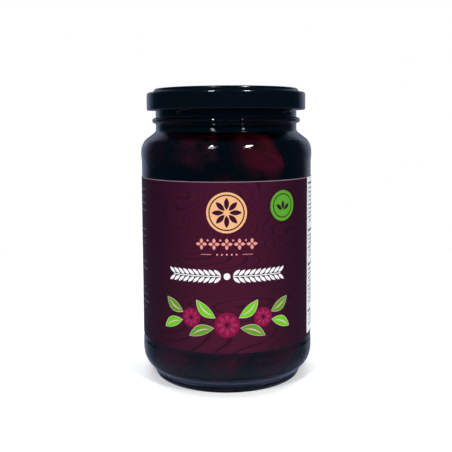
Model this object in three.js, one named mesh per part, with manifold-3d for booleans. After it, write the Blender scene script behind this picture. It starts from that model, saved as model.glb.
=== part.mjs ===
// Jar of dark olives: a clear glass jar, a black twist-off steel lid, a paper wrap label and the olives inside.
// Millimetres, +Z up. The origin is the middle of the foot, on the surface that the jar stands on.
// Turn angles are measured from the label's front, which faces -Y, towards +X.
import * as THREE from "three";
import { mergeVertices } from "three/addons/utils/BufferGeometryUtils.js";
import Module from "manifold-3d";

const wasm = await Module();
wasm.setup();

// Sides of every round piece. One number for all, so that the label's facets lie along the glass's.
const TURN_STEPS = 60;
const STEP_DEG = 360 / TURN_STEPS;

// Glass, outside
const FOOT_RADIUS = 31.7;
const FOOT_EDGE = 0.8;
const FOOT_HEIGHT = 2.1;
const FOOT_LEDGE = 0.2;
const BEARING_RADIUS = 27.5;
const PUNT_RISE = 2.4;
const HEEL_TOP = 12;
const HEEL_REACH = 4.3;
const HEEL_DROP = 7.6;
const LAND_RADIUS = 36.85;
const PANEL_RADIUS = 36.6;
const PANEL_LOW = 16.4;
const PANEL_HIGH = 92.4;
const LOW_SLOPE = 0.9;
const HIGH_SLOPE = 2.5;
const SHOULDER_LOW = 95.9;
const SHOULDER_REACH = 4.5;
const SHOULDER_RISE = 6.7;
const ROUND_END_DEG = 60;
const NECK_RADIUS = 30.4;
const NECK_LOW = 105.1;
const NECK_FILLET = 0.8;
const BEAD_HEIGHT = 109.6;
const BEAD_REACH = 1.55;
const BEAD_HALF = 1.25;
const RIM_HEIGHT = 121.8;
const RIM_EDGE = 0.6;

// Glass, inside
const WALL = 2.3;
const NECK_WALL = 2.5;
const FLOOR_HEIGHT = 4.8;
const FLOOR_ROUND = 7;
const BORE_RADIUS = PANEL_RADIUS - WALL;
const MOUTH_RADIUS = NECK_RADIUS - NECK_WALL;

// Twist-off thread: short ramps on the neck, each held by a lug of the lid
const LUGS = 4;
const RAMP_RADIUS = 1;
const RAMP_SINK = 0.3;
const RAMP_START_DEG = -42;
const RAMP_SPAN_DEG = 66;
const RAMP_LOW = 113.4;
const RAMP_HIGH = 117.4;
const RAMP_STEPS = 9;
const RAMP_SIDES = 8;
const LUG_DEG = 14;
const LUG_SIZE = { wide: 8, deep: 2, high: 0.9 };
const LUG_INNER = 31.5;
const LUG_LOW = 114.2;

// Lid
const LID_RADIUS = 34.2;
const LID_TOP = 123.1;
const LID_SHEET = 0.35;
const LID_LOW = 114;
const PLATEAU_RADIUS = 31;
const PLATEAU_EDGE = 0.7;
const STEP_HEIGHT = 121.85;
const SHELF_HEIGHT = 121.5;
const KNEE = 1.1;
const CURL = 0.65;
const SEAL_INNER = 27.2;
const SEAL_GAP = 0.05;

// Label
const LABEL_LOW = 18;
const LABEL_HIGH = 85.8;
const LABEL_PAPER = 0.15;
const LABEL_GAP = 0.05;
const LABEL_HALF_DEG = 27 * STEP_DEG;

// Olives
const OLIVE_LENGTH = 25;
const OLIVE_WIDTH = 17;
const OLIVE_VARIES = 0.09;
const OLIVE_REACH = OLIVE_LENGTH * (1 + OLIVE_VARIES);
const OLIVE_SIDES = 8;
const OLIVE_STATIONS = 5;
const LAYERS = 6;
const RING_SEATS = 7;
const RING_RADIUS = 24;
const LAYER_PITCH = 17;
const OLIVES_TOP = 113;
const LOBES = 5;
const PASSES = 500;
const SETTLING_PASSES = 260;
const SETTLE_STEP = 0.1;
const PUSH_SHARE = 0.45;
const GLASS_CLEARANCE = 0.6;
const SEED = 20;
const SHOWS_WITHIN = 6;
const CORE_RADIUS = 22;
const CORE_LOW = 8.5;
const CORE_EDGE = 5;
const CORE_HIGH = 98;

const radians = THREE.MathUtils.degToRad;
const point = (r, z) => new THREE.Vector2(r, z);

// Points of an elliptic arc about (r, z), without the arc's first point.
function arc(r, z, reach, rise, fromDeg, toDeg, steps) {
  return Array.from({ length: steps }, (_, i) => {
    const a = radians(fromDeg + ((toDeg - fromDeg) * (i + 1)) / steps);
    return point(r + reach * Math.cos(a), z + rise * Math.sin(a));
  });
}

// A profile of (radius, height) points turned about +Z.
function turned(profile, sides = TURN_STEPS) {
  return new THREE.LatheGeometry(profile, sides).rotateX(Math.PI / 2);
}

// Moves a piece modelled at the front of the jar round to a turn angle.
function turnedTo(geometry, deg) {
  return geometry.rotateZ(radians(deg));
}

function solidOf(geometry) {
  const bare = geometry.clone();
  bare.deleteAttribute("normal");
  bare.deleteAttribute("uv");
  const merged = mergeVertices(bare, 1e-3);
  const index = merged.index.array;
  const triangles = [];
  for (let i = 0; i < index.length; i += 3) {
    const [a, b, c] = index.subarray(i, i + 3);
    if (a !== b && b !== c && c !== a) triangles.push(a, b, c);
  }
  return new wasm.Manifold(
    new wasm.Mesh({
      numProp: 3,
      vertProperties: merged.attributes.position.array,
      triVerts: new Uint32Array(triangles),
    }),
  );
}

function geometryOf(solid) {
  const mesh = solid.getMesh();
  return new THREE.BufferGeometry()
    .setAttribute("position", new THREE.BufferAttribute(mesh.vertProperties, 3))
    .setIndex(new THREE.BufferAttribute(mesh.triVerts, 1));
}

function joined(base, additions) {
  return geometryOf(additions.reduce((sum, g) => sum.add(solidOf(g)), solidOf(base)));
}

// Outside of the glass from the middle of the base up to the rim.
function glassOutside() {
  const heelCentre = LAND_RADIUS - HEEL_REACH;
  const shoulderCentre = LAND_RADIUS - SHOULDER_REACH;
  return [
    point(0, PUNT_RISE),
    point(BEARING_RADIUS / 2, PUNT_RISE * 0.8),
    point(BEARING_RADIUS - 1.5, 0.5),
    point(BEARING_RADIUS, 0),
    point(FOOT_RADIUS - FOOT_EDGE, 0),
    ...arc(FOOT_RADIUS - FOOT_EDGE, FOOT_EDGE, FOOT_EDGE, FOOT_EDGE, -90, 0, 3),
    point(FOOT_RADIUS, FOOT_HEIGHT),
    point(FOOT_RADIUS + FOOT_LEDGE, FOOT_HEIGHT + FOOT_LEDGE),
    ...arc(heelCentre, HEEL_TOP, HEEL_REACH, HEEL_DROP, -ROUND_END_DEG - 10, 0, 6),
    point(LAND_RADIUS, PANEL_LOW - LOW_SLOPE),
    point(PANEL_RADIUS, PANEL_LOW),
    point(PANEL_RADIUS, PANEL_HIGH),
    point(LAND_RADIUS, PANEL_HIGH + HIGH_SLOPE),
    point(LAND_RADIUS, SHOULDER_LOW),
    ...arc(shoulderCentre, SHOULDER_LOW, SHOULDER_REACH, SHOULDER_RISE, 0, ROUND_END_DEG, 5),
    point(NECK_RADIUS + NECK_FILLET, NECK_LOW - NECK_FILLET),
    point(NECK_RADIUS + NECK_FILLET / 4, NECK_LOW - NECK_FILLET / 4),
    point(NECK_RADIUS, NECK_LOW + NECK_FILLET / 2),
    point(NECK_RADIUS, BEAD_HEIGHT - BEAD_HALF),
    ...arc(NECK_RADIUS, BEAD_HEIGHT, BEAD_REACH, BEAD_HALF, -90, 90, 6),
    point(NECK_RADIUS, RIM_HEIGHT - RIM_EDGE),
    point(NECK_RADIUS - RIM_EDGE, RIM_HEIGHT),
  ];
}

// Inside of the glass from the rim down to the middle of the floor.
function glassInside() {
  const shoulderCentre = BORE_RADIUS - SHOULDER_REACH;
  const floorCentre = BORE_RADIUS - FLOOR_ROUND;
  return [
    point(MOUTH_RADIUS + RIM_EDGE, RIM_HEIGHT),
    point(MOUTH_RADIUS, RIM_HEIGHT - RIM_EDGE),
    point(MOUTH_RADIUS, NECK_LOW),
    point(MOUTH_RADIUS + NECK_FILLET, NECK_LOW - 2 * NECK_FILLET),
    ...arc(shoulderCentre, SHOULDER_LOW - 1, SHOULDER_REACH, SHOULDER_RISE, ROUND_END_DEG + 12, 0, 4),
    point(BORE_RADIUS, FLOOR_HEIGHT + FLOOR_ROUND),
    ...arc(floorCentre, FLOOR_HEIGHT + FLOOR_ROUND, FLOOR_ROUND, FLOOR_ROUND, 0, -90, 5),
    point(0, FLOOR_HEIGHT),
  ];
}

// One thread ramp: a round ridge that climbs to the right, half sunk in the neck.
class RampLine extends THREE.Curve {
  constructor(startDeg) {
    super();
    this.startDeg = startDeg;
  }
  getPoint(t, target = new THREE.Vector3()) {
    const a = radians(this.startDeg + RAMP_SPAN_DEG * t);
    const r = NECK_RADIUS + RAMP_SINK;
    return target.set(r * Math.sin(a), -r * Math.cos(a), RAMP_LOW + (RAMP_HIGH - RAMP_LOW) * t);
  }
}

function threadRamp(startDeg) {
  const section = new THREE.Shape(
    Array.from({ length: RAMP_SIDES }, (_, i) => {
      const a = (2 * Math.PI * i) / RAMP_SIDES;
      return point(RAMP_RADIUS * Math.cos(a), RAMP_RADIUS * Math.sin(a));
    }),
  );
  return new THREE.ExtrudeGeometry(section, { steps: RAMP_STEPS, extrudePath: new RampLine(startDeg) });
}

function lugTurns() {
  return Array.from({ length: LUGS }, (_, i) => (360 / LUGS) * i);
}

function glassJar() {
  const body = turned([...glassOutside(), ...glassInside()]);
  return joined(body, lugTurns().map((deg) => threadRamp(RAMP_START_DEG + deg)));
}

// Lid: a pressed plateau, a shelf, a round knee, a plain skirt with a curled hem, and the seal ring under the plateau.
function lidProfile() {
  const inner = LID_RADIUS - LID_SHEET;
  const under = LID_TOP - LID_SHEET;
  const sealLow = RIM_HEIGHT + SEAL_GAP;
  const curlCentre = LID_RADIUS - CURL;
  return [
    point(0, under),
    point(SEAL_INNER - PLATEAU_EDGE, under),
    point(SEAL_INNER, sealLow),
    point(PLATEAU_RADIUS - LID_SHEET, sealLow),
    point(PLATEAU_RADIUS, SHELF_HEIGHT - LID_SHEET),
    point(LID_RADIUS - KNEE, SHELF_HEIGHT - LID_SHEET),
    ...arc(LID_RADIUS - KNEE, SHELF_HEIGHT - KNEE, KNEE - LID_SHEET, KNEE - LID_SHEET, 90, 0, 2),
    point(inner, LID_LOW + 3 * CURL),
    point(curlCentre - CURL, LID_LOW + 2 * CURL),
    ...arc(curlCentre, LID_LOW + CURL, CURL, CURL, -180, 0, 4),
    ...arc(LID_RADIUS - KNEE, SHELF_HEIGHT - KNEE, KNEE, KNEE, 0, 90, 4),
    point(PLATEAU_RADIUS + PLATEAU_EDGE / 2, STEP_HEIGHT),
    ...arc(PLATEAU_RADIUS - PLATEAU_EDGE, LID_TOP - PLATEAU_EDGE, PLATEAU_EDGE, PLATEAU_EDGE, 0, 90, 3),
    point(0, LID_TOP),
  ];
}

function lidLug(deg) {
  const box = new THREE.BoxGeometry(LUG_SIZE.wide, LUG_SIZE.deep, LUG_SIZE.high);
  box.translate(0, -(LUG_INNER + LUG_SIZE.deep / 2), LUG_LOW + LUG_SIZE.high / 2);
  return turnedTo(box, deg);
}

function lid() {
  return joined(turned(lidProfile()), lugTurns().map((deg) => lidLug(LUG_DEG + deg)));
}

// Label: one strip of paper round the jar, open at the back.
function label() {
  const inner = PANEL_RADIUS + LABEL_GAP;
  const front = -90;
  const from = radians(front - LABEL_HALF_DEG);
  const to = radians(front + LABEL_HALF_DEG);
  const strip = new THREE.Shape();
  strip.absarc(0, 0, inner + LABEL_PAPER, from, to, false);
  strip.absarc(0, 0, inner, to, from, true);
  const curveSegments = LABEL_HALF_DEG / STEP_DEG;
  const depth = LABEL_HIGH - LABEL_LOW;
  return new THREE.ExtrudeGeometry(strip, { curveSegments, depth, bevelEnabled: false }).translate(0, 0, LABEL_LOW);
}

// A seeded draw between 0 and 1.
let drawState = SEED;
function draw() {
  drawState = (Math.imul(drawState, 1664525) + 1013904223) >>> 0;
  return drawState / 2 ** 32;
}

// Where olives start: rings of seats with one in the middle, each olive lying at its own angle.
function seatedOlives() {
  const olives = [];
  for (let layer = 0; layer < LAYERS; layer++) {
    for (let seat = 0; seat <= RING_SEATS; seat++) {
      const turn = (2 * Math.PI * (seat + layer / 2)) / RING_SEATS;
      const reach = seat < RING_SEATS ? RING_RADIUS : 3 * draw();
      const lean = Math.PI * draw();
      const grow = 1 + OLIVE_VARIES * (2 * draw() - 1);
      const across = new THREE.Vector3(Math.cos(turn), Math.sin(turn), 0);
      const axis = across.clone().multiplyScalar(Math.cos(lean));
      axis.z = Math.sin(lean);
      const height = FLOOR_HEIGHT + LAYER_PITCH * (layer + 0.5) + 3 * (draw() - 0.5);
      const centre = new THREE.Vector3(reach * Math.sin(turn), -reach * Math.cos(turn), height);
      olives.push({ centre, axis, grow });
    }
  }
  return olives;
}

// The balls that stand for an olive while it settles: the largest that fit in its outline, from end to end.
function lobesOf(olive) {
  const half = (OLIVE_LENGTH / 2) * olive.grow;
  const wide = (OLIVE_WIDTH / 2) * olive.grow;
  const focus = half * half - wide * wide;
  return Array.from({ length: LOBES }, (_, i) => {
    const along = (focus / half) * ((2 * i) / (LOBES - 1) - 1);
    return {
      at: olive.centre.clone().addScaledVector(olive.axis, along),
      radius: wide * Math.sqrt(1 - (along * along) / focus),
      push: new THREE.Vector3(),
    };
  });
}

// Half of the push that parts two balls, for each of them.
function pushApart(a, b) {
  const gap = a.at.clone().sub(b.at);
  const overlap = a.radius + b.radius - gap.length();
  if (overlap <= 0) return;
  gap.setLength(overlap * PUSH_SHARE);
  a.push.add(gap);
  b.push.sub(gap);
}

// The push that takes a ball off the glass, whose inside is a line of (radius, height) points.
function pushOffGlass(lobe, wall) {
  const across = Math.hypot(lobe.at.x, lobe.at.y);
  const here = new THREE.Vector3(across, lobe.at.z, 0);
  let nearest = null;
  for (const line of wall) {
    const foot = line.closestPointToPoint(here, true, new THREE.Vector3());
    if (!nearest || foot.distanceTo(here) < nearest.distanceTo(here)) nearest = foot;
  }
  const away = here.clone().sub(nearest);
  const overlap = lobe.radius + GLASS_CLEARANCE - away.length();
  if (overlap <= 0) return;
  away.setLength(overlap);
  lobe.push.add(new THREE.Vector3((away.x * lobe.at.x) / across, (away.x * lobe.at.y) / across, away.y));
}

// The olives at rest: they sink a little at each pass, and are pushed off the glass and off each other.
function settledOlives() {
  const olives = seatedOlives();
  const inside = glassInside().filter((p) => p.y < OLIVES_TOP);
  inside.unshift(point(0, OLIVES_TOP), point(MOUTH_RADIUS, OLIVES_TOP));
  const wall = inside.slice(1).map(
    (p, i) => new THREE.Line3(new THREE.Vector3(inside[i].x, inside[i].y, 0), new THREE.Vector3(p.x, p.y, 0)),
  );
  for (let pass = 0; pass < PASSES; pass++) {
    const all = olives.map(lobesOf);
    all.forEach((lobes, i) => {
      for (let j = i + 1; j < all.length; j++) {
        if (olives[i].centre.distanceTo(olives[j].centre) > OLIVE_REACH) continue;
        lobes.forEach((a) => all[j].forEach((b) => pushApart(a, b)));
      }
      lobes.forEach((lobe) => pushOffGlass(lobe, wall));
    });
    all.forEach((lobes, i) => {
      const { centre, axis } = olives[i];
      lobes.forEach((lobe) => lobe.at.add(lobe.push));
      centre.setScalar(0);
      lobes.forEach((lobe) => centre.addScaledVector(lobe.at, 1 / LOBES));
      axis.subVectors(lobes[LOBES - 1].at, lobes[0].at).normalize();
      if (pass < SETTLING_PASSES) centre.z -= SETTLE_STEP;
    });
  }
  return olives;
}

// One olive along +Z.
function oliveGeometry(grow) {
  const outline = Array.from({ length: OLIVE_STATIONS + 1 }, (_, i) => {
    const t = -Math.cos((Math.PI * i) / OLIVE_STATIONS);
    const wide = i % OLIVE_STATIONS ? Math.sqrt(1 - t * t) : 0;
    return point((OLIVE_WIDTH / 2) * grow * wide, (OLIVE_LENGTH / 2) * grow * t);
  });
  return turned(outline, OLIVE_SIDES);
}

function placedOlive(olive) {
  const turn = new THREE.Quaternion().setFromUnitVectors(new THREE.Vector3(0, 0, 1), olive.axis);
  return oliveGeometry(olive.grow).applyQuaternion(turn).translate(...olive.centre);
}

// The heap: a core, with the olives that show through the glass fused on.
function oliveHeap() {
  const core = turned([
    point(0, CORE_LOW),
    point(CORE_RADIUS - CORE_EDGE, CORE_LOW),
    point(CORE_RADIUS, CORE_LOW + CORE_EDGE),
    point(CORE_RADIUS, CORE_HIGH - CORE_EDGE),
    point(CORE_RADIUS - CORE_EDGE, CORE_HIGH),
    point(0, CORE_HIGH),
  ], OLIVE_SIDES * 2);
  const shown = settledOlives().filter(({ centre, grow }) => {
    const across = Math.hypot(centre.x, centre.y) + (OLIVE_WIDTH / 2) * grow;
    return across > BORE_RADIUS - SHOWS_WITHIN || centre.z > CORE_HIGH - CORE_EDGE || centre.z < CORE_LOW + CORE_EDGE;
  });
  return joined(core, shown.map(placedOlive));
}

function piece(name, geometry, color, roughness, metalness) {
  const mesh = new THREE.Mesh(geometry, new THREE.MeshStandardMaterial({ color, roughness, metalness }));
  mesh.name = name;
  return mesh;
}

const jarOfOlives = new THREE.Group();
jarOfOlives.add(
  piece("glass_jar", glassJar(), 0xdfe6ea, 0.05, 0),
  piece("lid", lid(), 0x0b0e12, 0.25, 0.6),
  piece("label", label(), 0x471328, 0.55, 0),
  piece("olives", oliveHeap(), 0x2d0c18, 0.35, 0),
);

export default jarOfOlives;
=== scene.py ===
# Jar of dark olives: the finished surfaces, the olives and the brine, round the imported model.
# Shapes are worked out in millimetres, +Z up, and brought to metres as each piece is finished.
# Turn angles are measured from the label's front, which faces -Y, towards +X.
from math import atan2, ceil, cos, degrees, floor, hypot, pi, radians, sin, sqrt

import bmesh
import bpy
import numpy as np
from mathutils import Matrix, Vector, noise


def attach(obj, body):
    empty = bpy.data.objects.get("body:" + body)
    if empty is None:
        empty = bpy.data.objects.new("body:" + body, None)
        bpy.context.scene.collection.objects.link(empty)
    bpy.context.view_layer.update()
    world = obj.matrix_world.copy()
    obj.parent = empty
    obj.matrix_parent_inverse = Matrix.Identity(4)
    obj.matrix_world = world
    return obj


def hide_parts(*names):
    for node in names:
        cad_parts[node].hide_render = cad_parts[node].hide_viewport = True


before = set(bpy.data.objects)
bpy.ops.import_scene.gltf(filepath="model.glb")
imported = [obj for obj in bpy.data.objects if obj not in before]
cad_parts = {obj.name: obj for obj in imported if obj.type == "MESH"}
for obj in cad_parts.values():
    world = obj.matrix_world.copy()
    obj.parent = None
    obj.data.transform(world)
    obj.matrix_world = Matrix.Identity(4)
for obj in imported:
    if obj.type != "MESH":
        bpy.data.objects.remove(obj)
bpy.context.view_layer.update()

# A millimetre in metres, the gap at which points merge, and how much of an edge a soft corner may take
MM = 0.001
MERGE = 1e-4
EDGE_SHARE = 0.45

# Camera: where it stands, how far it leans down and rolls in radians, and what its frame shows
FRAME_PIXELS = 452
FOCAL_PIXELS = 701.6
SENSOR = 36
CAMERA_BACK = 306.1
CAMERA_HEIGHT = 108.3
CAMERA_LEAN = 0.082
CAMERA_ROLL = -0.006
AXIS_PIXEL = (226.4, 181.0)

# Glass, outside
ROUND_STEPS = 180
SHARP_DEG = 14
GLASS_SOFT = 0.5
FOOT_RADIUS = 31.7
FOOT_EDGE = 0.8
FOOT_HEIGHT = 2.1
FOOT_LEDGE = 0.2
BEARING_RADIUS = 27.5
PUNT_RISE = 2.4
PUNT_LIP, PUNT_LIP_HIGH = 1.5, 0.5
KNURL = 0.25
HEEL_TOP = 12
HEEL_REACH = 4.3
HEEL_DROP = 7.6
LAND_RADIUS = 36.85
PANEL_RADIUS = 36.6
PANEL_LOW = 16.4
PANEL_HIGH = 92.4
LOW_SLOPE = 0.9
HIGH_SLOPE = 2.5
SHOULDER_LOW = 95.9
SHOULDER_REACH = 4.5
SHOULDER_RISE = 6.7
ROUND_END_DEG = 60
NECK_RADIUS = 30.4
NECK_LOW = 105.1
NECK_FILLET = 0.8
BEAD_HEIGHT = 109.6
BEAD_REACH = 1.55
BEAD_HALF = 1.25
RIM_HEIGHT = 121.8
RIM_EDGE = 0.6

# Glass, inside
WALL = 2.3
NECK_WALL = 2.5
FLOOR_HEIGHT = 4.8
FLOOR_ROUND = 7
BORE_RADIUS = PANEL_RADIUS - WALL
MOUTH_RADIUS = NECK_RADIUS - NECK_WALL

# Twist-off thread and the lid's lugs
LUGS = 4
RAMP_RADIUS = 1
RAMP_SINK = 0.3
RAMP_START_DEG = -42
RAMP_SPAN_DEG = 66
RAMP_LOW = 113.4
RAMP_HIGH = 117.4
RAMP_FADE = 0.1
LUG_DEG = 14
LUG_WIDE, LUG_DEEP, LUG_HIGH = 8, 2, 0.9
LUG_INNER = 31.5
LUG_LOW = 114.2
LUG_EDGE = 0.3

# Lid
LID_RADIUS = 34.2
LID_TOP = 123.1
LID_SHEET = 0.35
LID_SOFT = 0.3
LID_LOW = 114
PLATEAU_RADIUS = 31
PLATEAU_EDGE = 0.7
STEP_HEIGHT = 121.85
SHELF_HEIGHT = 121.5
KNEE = 1.1
CURL = 0.65
SEAL_INNER = 27.2
SEAL_GAP = 0.05
DISH_RADIUS = 26
DISH_DEEP = 0.4
DISH_SLOPE = 1.2
BUTTON_RADIUS = 12.5

# Label
LABEL_LOW = 18
LABEL_HIGH = 85.8
LABEL_GLUE = 0.05
LABEL_PAPER = 0.15
LABEL_FACE = PANEL_RADIUS + LABEL_GLUE + LABEL_PAPER
LABEL_HALF_DEG = 162
LABEL_STEPS = 162
# Width of a pale band along the top of the printed face: a painted highlight for the paper's lit top edge
TOP_HIGHLIGHT_BAND = 0.2
INK = 0.02
INK_SINK = 0.05
STRIP = 1.5

# Print: places are millimetres along the paper from its front, and millimetres up the jar
MEDALLION = (0, 73.8)
MEDALLION_RADIUS = 8
MEDALLION_PETALS = 8
SEAL = (24, 75.7)
SEAL_RADIUS = 6.1
SEAL_ROOT_DROP = 2.2
SEAL_SPREAD_DEG = 48
QUATREFOILS = 5
QUATREFOIL_PITCH = 5
QUATREFOIL_RADIUS = 2.25
BAND_HEIGHT = 61.5
BAND_DOT_RISE = 1.5
RULE_HEIGHT = 57.4
RULE_MIDDLE, RULE_LENGTH = 8.2, 4.2
RULE_DOTS = 5
RULE_DOT_PITCH = 1.9
LAUREL_HEIGHT = 48.8
LAUREL_FROM, LAUREL_TO = 2.4, 22.6
LAUREL_PAIRS = 10
LAUREL_PITCH = 2.15
LAUREL_LEAN_DEG = 40
LAUREL_STEM = 0.35
LEAF_WIDTH = 4.3
LEAF_EDGE = 0.16
LEAF_RIB = 0.5
RIB_FROM, RIB_LENGTH = 0.14, 0.72
FLOWER_PETALS = 8
# Flowers: place and radius. Leaves of the right half: place, turn, length, bend, and 1 for the deep tone
GARLAND_FLOWERS = (((0, 29.5), 5), ((-14.6, 32), 3.9), ((14.6, 32), 3.9))
GARLAND_LEAVES = (
    ((4.6, 32.2), 42, 10.5, -0.9, 0),
    ((5.2, 28.2), -20, 11, 0.9, 1),
    ((18.2, 33.8), 34, 9.5, -0.7, 1),
    ((18.4, 30.6), -24, 10, 0.8, 0),
)
PRINT_SEED = 7
FIELD_FROM, FIELD_TO = 42.3, 102.6
FIELD_LOW = 19.4
COLUMNS = ((43.8, 71), (74.4, 100.8))
# Blocks of bars: which column on the right, how high they start, and how many lines they have
RIGHT_BLOCKS = ((0, 81, 9), (0, 61, 6), (0, 46.4, 9), (0, 26.4, 3), (1, 81, 5), (1, 41, 2))
RIGHT_PITCH, RIGHT_BAR = 1.75, 0.5
HEADING_RISE, HEADING_BAR = 2.2, 0.9
HEADING_SHORTEST, HEADING_SPREAD = 6, 8
TABLE_TOP, TABLE_ROWS, TABLE_PITCH = 69, 9, 2.7
TABLE_RULE, TABLE_BAR = 0.16, 0.55
ENTRY_INDENT, ENTRY_SHORTEST, ENTRY_SPREAD = 0.4, 5, 8
FIGURE_MIDDLE, FIGURE_LENGTH = 2.4, 3.6
STRIPES_FROM, STRIPES_TO = 78, 98
STRIPES_MIDDLE, STRIPES_HIGH = 27.2, 9
STRIPE_THINNEST, STRIPE_SPREAD = 0.3, 0.6
STRIPE_GAP, STRIPE_GAP_SPREAD = 0.45, 0.5
LEFT_FROM, LEFT_TO = -98, -40
LEFT_BLOCKS = ((81, 5), (64.2, 4), (50.4, 3), (39.4, 5))
LEFT_PITCH, LEFT_BAR = 2.9, 0.34
BAR_SHORTEST, BAR_SPREAD, BAR_GAP = 0.9, 3.4, 0.7
BAR_INDENT = 1.8
LAST_LINE, LAST_LINE_SPREAD = 0.3, 0.4

# Olives and brine
OLIVE_LENGTH = 25
OLIVE_WIDTH = 17
OLIVE_VARIES = 0.09
OLIVE_REACH = OLIVE_LENGTH * (1 + OLIVE_VARIES)
LAYERS = 6
RING_SEATS = 7
RING_RADIUS = 24
LAYER_PITCH = 17
SEAT_STRAY = 3
OLIVES_TOP = 113
LOBES = 5
PASSES = 500
SETTLING_PASSES = 260
SETTLE_STEP = 0.1
PUSH_SHARE = 0.45
GLASS_CLEARANCE = 0.6
OLIVE_SEED = 20
SKIN_GAP = 0.15
TAPER = 0.06
LUMPS, LUMP_DEEP = 1.4, 0.05
STREAKS, STREAK_RUN, STREAK_DEEP, STREAK_TONE = 5, 1.2, 0.012, 0.7
NIB, NIB_POINT = 0.05, 12
DIMPLE, DIMPLE_POINT = 0.06, 24
TONE_SEED = 1419
TONE_LEAST = 0.12
OLIVE_APART = 7.3
BRINE_TOP = 118
BRINE_INTO_WALL = 0.1
MENISCUS_WIDE, MENISCUS_HIGH = 2.5, 0.5

# Patterns in the finishes: how wide and how deep they are, in millimetres
# Paper fibres, uneven ink and pores in the skin are drawn coarser than real ones, so that they show
GLASS_WAVES, GLASS_RIPPLES, GLASS_DEEP = 9, 2.4, 0.25
PEEL, PEEL_DEEP = 1.1, 0.006
GRAIN_SWIRL, GRAIN_PITCH = 24, 2.8
FIBRE, FIBRE_DEEP = 0.5, 0.008
INK_COVER = 0.9
MOTTLE, PORES, FOLDS, SKIN_DEEP = 7, 1.2, 2.5, 0.07
BOARD_GRAIN, BOARD_DEEP = 2, 0.02

# How strong the glass ripples are, how the paper's lines run, and between which turns painted shade darkens
# the paper's burgundy to the sides
RIPPLE_SHARE = 0.15
GRAIN_STRETCH = 0.4
GRAIN_LINES = 28
GRAIN_LINE = 0.13
PAINTED_SHADE_FROM, PAINTED_SHADE_TO = 0.1, 0.9

# Studio: lengths in metres, power in watts
BOARD_RADIUS = 0.32
AIM_HEIGHT = 0.06
KEY_TURNS_DEG = (("key_left", -23), ("key_right", 35))
KEY_RISE_DEG, KEY_DISTANCE, KEY_POWER = 44, 1.1, 5
KEY_SIZE = (0.11, 0.075)
OVERHEAD_TURN_DEG, OVERHEAD_RISE_DEG, OVERHEAD_DISTANCE, OVERHEAD_POWER = 180, 80, 0.9, 9
OVERHEAD_SIZE = (0.9, 0.7)
ROOM_FRONT = "#16354A"
ROOM_BELOW = "#616C85"
ROOM_BACK = "#ADB8D4"


def linear(code):
    """A colour given as sRGB hex, as the linear values that Blender works in."""
    parts = [int(code[i : i + 2], 16) / 255 for i in (1, 3, 5)]
    return (*(c / 12.92 if c <= 0.04045 else ((c + 0.055) / 1.055) ** 2.4 for c in parts), 1.0)


# Modelling helpers


def arc(r, z, reach, rise, from_deg, to_deg, steps):
    """Points of an elliptic arc about (r, z), without the arc's first point."""
    turns = [radians(from_deg + (to_deg - from_deg) * (i + 1) / steps) for i in range(steps)]
    return [(r + reach * cos(a), z + rise * sin(a)) for a in turns]


def softened(points, reach, steps=4):
    """The same outline with each sharp corner drawn as a short curve that keeps within reach of it."""
    soft = [points[0]]
    for before, corner, after in zip(points, points[1:], points[2:]):
        before, corner, after = Vector(before), Vector(corner), Vector(after)
        if (corner - before).angle(after - corner) < radians(SHARP_DEG):
            soft.append(tuple(corner))
            continue
        start = corner + (before - corner).normalized() * min(reach, (before - corner).length * EDGE_SHARE)
        end = corner + (after - corner).normalized() * min(reach, (after - corner).length * EDGE_SHARE)
        for i in range(steps + 1):
            t = i / steps
            soft.append(tuple(start * (1 - t) ** 2 + corner * 2 * t * (1 - t) + end * t**2))
    return soft + [points[-1]]


def spun(profile, steps=ROUND_STEPS):
    """A bmesh of a (radius, height) outline turned once round +Z."""
    bm = bmesh.new()
    line = [bm.verts.new((0, -r, z)) for r, z in profile]
    edges = [bm.edges.new(pair) for pair in zip(line, line[1:])]
    bmesh.ops.spin(
        bm, geom=line + edges, cent=(0, 0, 0), axis=(0, 0, 1), angle=2 * pi, steps=steps, use_merge=True
    )
    bmesh.ops.remove_doubles(bm, verts=bm.verts, dist=MERGE)
    bmesh.ops.recalc_face_normals(bm, faces=bm.faces)
    return bm


def finished(bm, name, materials, sharp_deg=40):
    """Brings a bmesh to metres and makes it a piece of the jar."""
    bmesh.ops.scale(bm, vec=(MM, MM, MM), verts=bm.verts)
    mesh = bpy.data.meshes.new(name)
    bm.to_mesh(mesh)
    bm.free()
    for made in materials:
        mesh.materials.append(made)
    mesh.shade_smooth()
    mesh.set_sharp_from_angle(angle=radians(sharp_deg))
    piece = bpy.data.objects.new(name, mesh)
    bpy.context.collection.objects.link(piece)
    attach(piece, "root")
    return piece


# Material helpers


def add(tree, kind, links=None, **settings):
    """Adds a node: settings are its own properties, links gives its sockets a value or another socket."""
    made = tree.nodes.new(kind)
    for name, value in settings.items():
        setattr(made, name, value)
    for socket, value in (links or {}).items():
        if isinstance(value, bpy.types.NodeSocket):
            tree.links.new(value, made.inputs[socket])
        else:
            made.inputs[socket].default_value = value
    return made


def surface(name, **sockets):
    """A new material with one Principled shader whose sockets have these values."""
    made = bpy.data.materials.new(name)
    made.use_nodes = True
    tree = made.node_tree
    shader = tree.nodes["Principled BSDF"]
    for socket, value in sockets.items():
        shader.inputs[socket.replace("_", " ")].default_value = value
    return made, tree, shader


def per_mm(size):
    """The scale of a texture on Object coordinates whose features are this many millimetres wide."""
    return 1 / (size * MM)


def bumped(tree, shader, height, depth):
    """Links a height pattern, in millimetres of depth, to the shader's normal."""
    bump = add(tree, "ShaderNodeBump", {"Strength": 1, "Distance": depth * MM, "Height": height})
    tree.links.new(bump.outputs["Normal"], shader.inputs["Normal"])


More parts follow.
